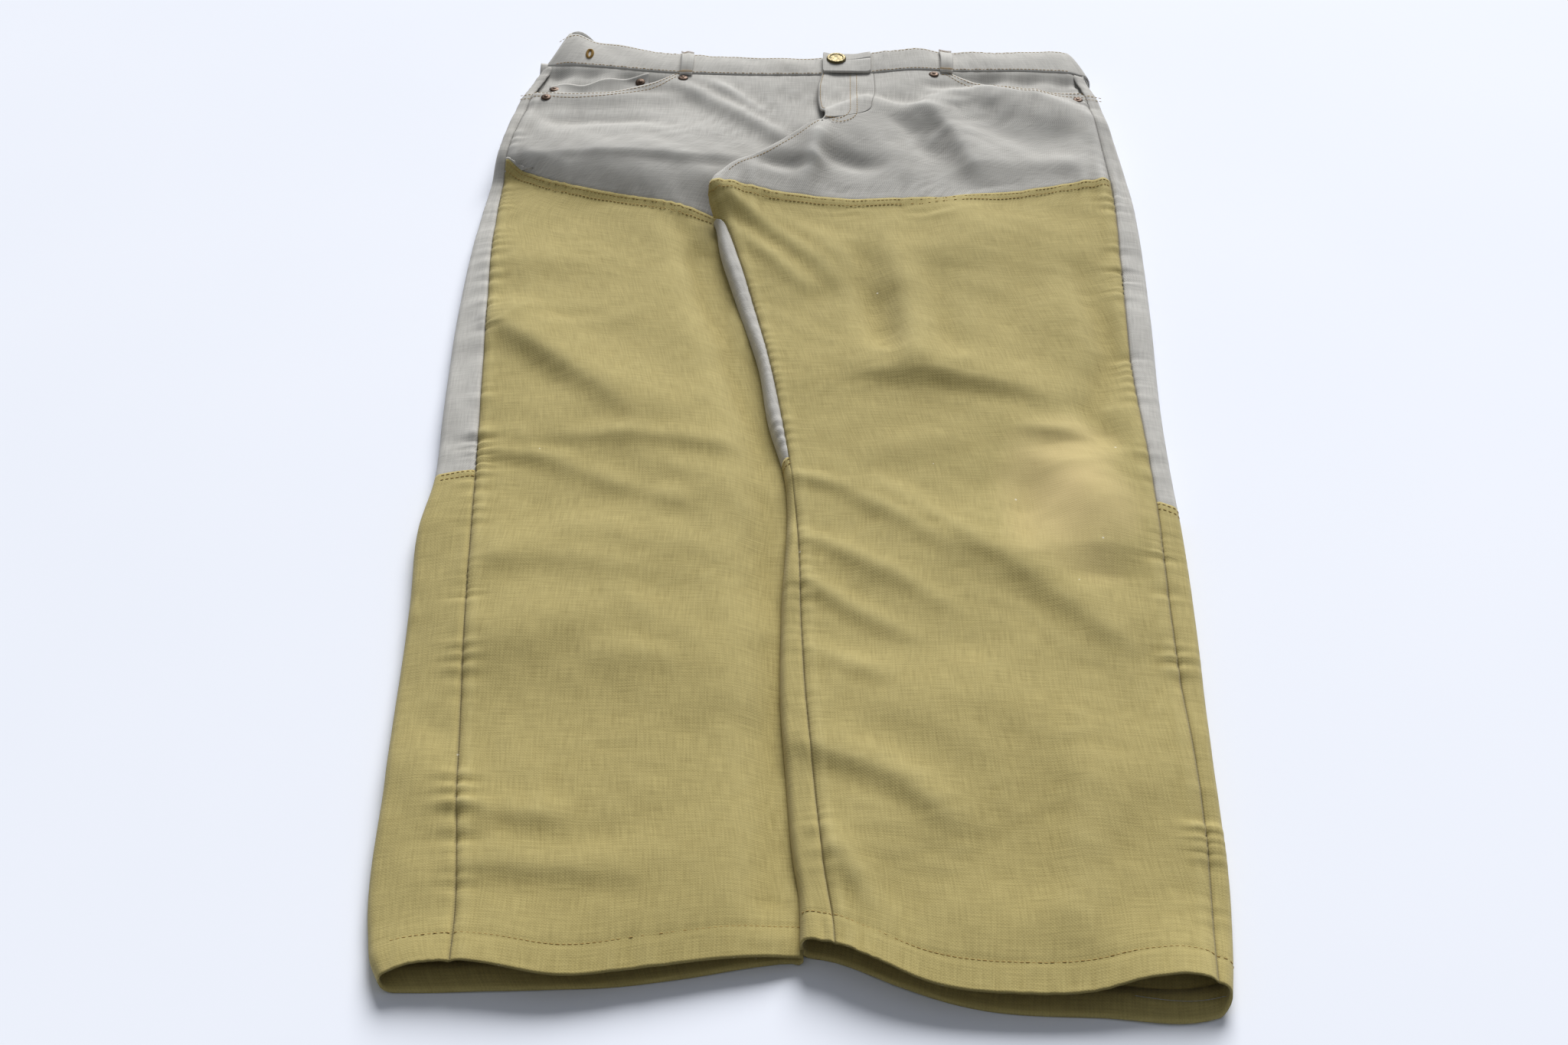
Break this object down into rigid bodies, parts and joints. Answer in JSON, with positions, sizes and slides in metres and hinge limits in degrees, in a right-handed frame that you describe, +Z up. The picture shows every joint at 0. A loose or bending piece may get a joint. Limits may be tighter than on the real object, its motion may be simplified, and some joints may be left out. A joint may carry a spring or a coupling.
{
  "type": "field trousers",
  "caption": "Field trousers lying flat: grey twill body, tan canvas leg facings, zip fly under a buttoned flap, scoop and back pockets, belt loops, open hems.",
  "frame": {"origin": "on the surface that the trousers lie on, under the middle of their box", "axes": "+Y from the hems to the waist, +Z up out of the surface, +X towards the wearer's left leg, with the front of the trousers up"},
  "size_m": [0.526, 1.002, 0.0448],
  "materials": {
    "grey_twill": "faded, washed cotton twill",
    "tan_canvas": "olive-tan cotton canvas",
    "pocket_lining": "plain pocket cotton",
    "tan_thread": "matt thread",
    "antique_brass": "worn, dull",
    "copper": "worn"
  },
  "bodies": {
    "seat": {"right_waistband": "grey_twill", "left_waistband": "grey_twill", "button_stand": "grey_twill", "button_shank": "antique_brass", "right_seat_back": "grey_twill", "left_seat_back": "grey_twill", "right_back_yoke": "grey_twill", "left_back_yoke": "grey_twill", "right_front_panel": "grey_twill", "left_front_panel": "grey_twill", "right_pocket_facing": "grey_twill", "left_pocket_facing": "grey_twill", "right_pocket_bag": "pocket_lining", "left_pocket_bag": "pocket_lining", "coin_pocket": "grey_twill", "right_back_pocket_top": "grey_twill", "left_back_pocket_top": "grey_twill", "right_front_loop": "grey_twill", "left_front_loop": "grey_twill", "right_back_loop": "grey_twill", "middle_back_loop": "grey_twill", "left_back_loop": "grey_twill", "side_eyelet": "tan_thread", "fly_shield": "grey_twill", "zip_tape_right": "grey_twill", "zip_teeth_right": "antique_brass", "zip_top_stop_right": "antique_brass", "zip_bottom_stop": "antique_brass", "right_pocket_side_rivet": "copper", "right_pocket_band_rivet": "copper", "left_pocket_side_rivet": "copper", "left_pocket_band_rivet": "copper", "coin_pocket_outer_rivet": "copper", "coin_pocket_inner_rivet": "copper"},
    "fly_flap": {"fly_flap": "grey_twill", "waist_tab": "grey_twill", "fly_facing": "grey_twill", "zip_tape_left": "grey_twill", "zip_teeth_left": "antique_brass", "zip_top_stop_left": "antique_brass"},
    "zip_slider": {"zip_slider": "antique_brass"},
    "zip_pull": {"zip_pull": "antique_brass"},
    "waist_button": {"button_cap": "antique_brass"},
    "thighs": {"right_thigh_back": "grey_twill", "right_thigh_front_base": "grey_twill", "right_thigh_facing": "tan_canvas", "left_thigh_back": "grey_twill", "left_thigh_front_base": "grey_twill", "left_thigh_facing": "tan_canvas", "right_back_pocket_bottom": "grey_twill", "left_back_pocket_bottom": "grey_twill"},
    "right_lower_leg": {"right_lower_back": "tan_canvas", "right_lower_front_base": "grey_twill", "right_lower_facing": "tan_canvas"},
    "left_lower_leg": {"left_lower_back": "tan_canvas", "left_lower_front_base": "grey_twill", "left_lower_facing": "tan_canvas"}
  },
  "joints": [
    {"name": "hip_fold", "type": "hinge", "parent": "seat", "child": "thighs", "pos_m": [0, 0.344, 0.04], "axis": [-1, 0, 0], "range_deg": [0, 90]},
    {"name": "right_knee_fold", "type": "hinge", "parent": "thighs", "child": "right_lower_leg", "pos_m": [-0.125, -0.135, 0.024], "axis": [-1, 0, 0], "range_deg": [0, 160]},
    {"name": "left_knee_fold", "type": "hinge", "parent": "thighs", "child": "left_lower_leg", "pos_m": [0.125, -0.135, 0.024], "axis": [-1, 0, 0], "range_deg": [0, 160]},
    {"name": "fly_flap_open", "type": "hinge", "parent": "seat", "child": "fly_flap", "pos_m": [0.052, 0.409, 0.04], "axis": [0, 1, 0], "range_deg": [0, 130]},
    {"name": "zip_slide", "type": "slide", "parent": "seat", "child": "zip_slider", "axis": [0, 1, 0], "range_m": [0, 0.078]},
    {"name": "zip_pull_swing", "type": "hinge", "parent": "zip_slider", "child": "zip_pull", "pos_m": [0.024, 0.371, 0.02465], "axis": [-1, 0, 0], "range_deg": [0, 30]},
    {"name": "waist_button_turn", "type": "hinge", "parent": "seat", "child": "waist_button", "pos_m": [0.022, 0.473, 0.0423], "axis": [0, 0, 1], "continuous": true}
  ]
}
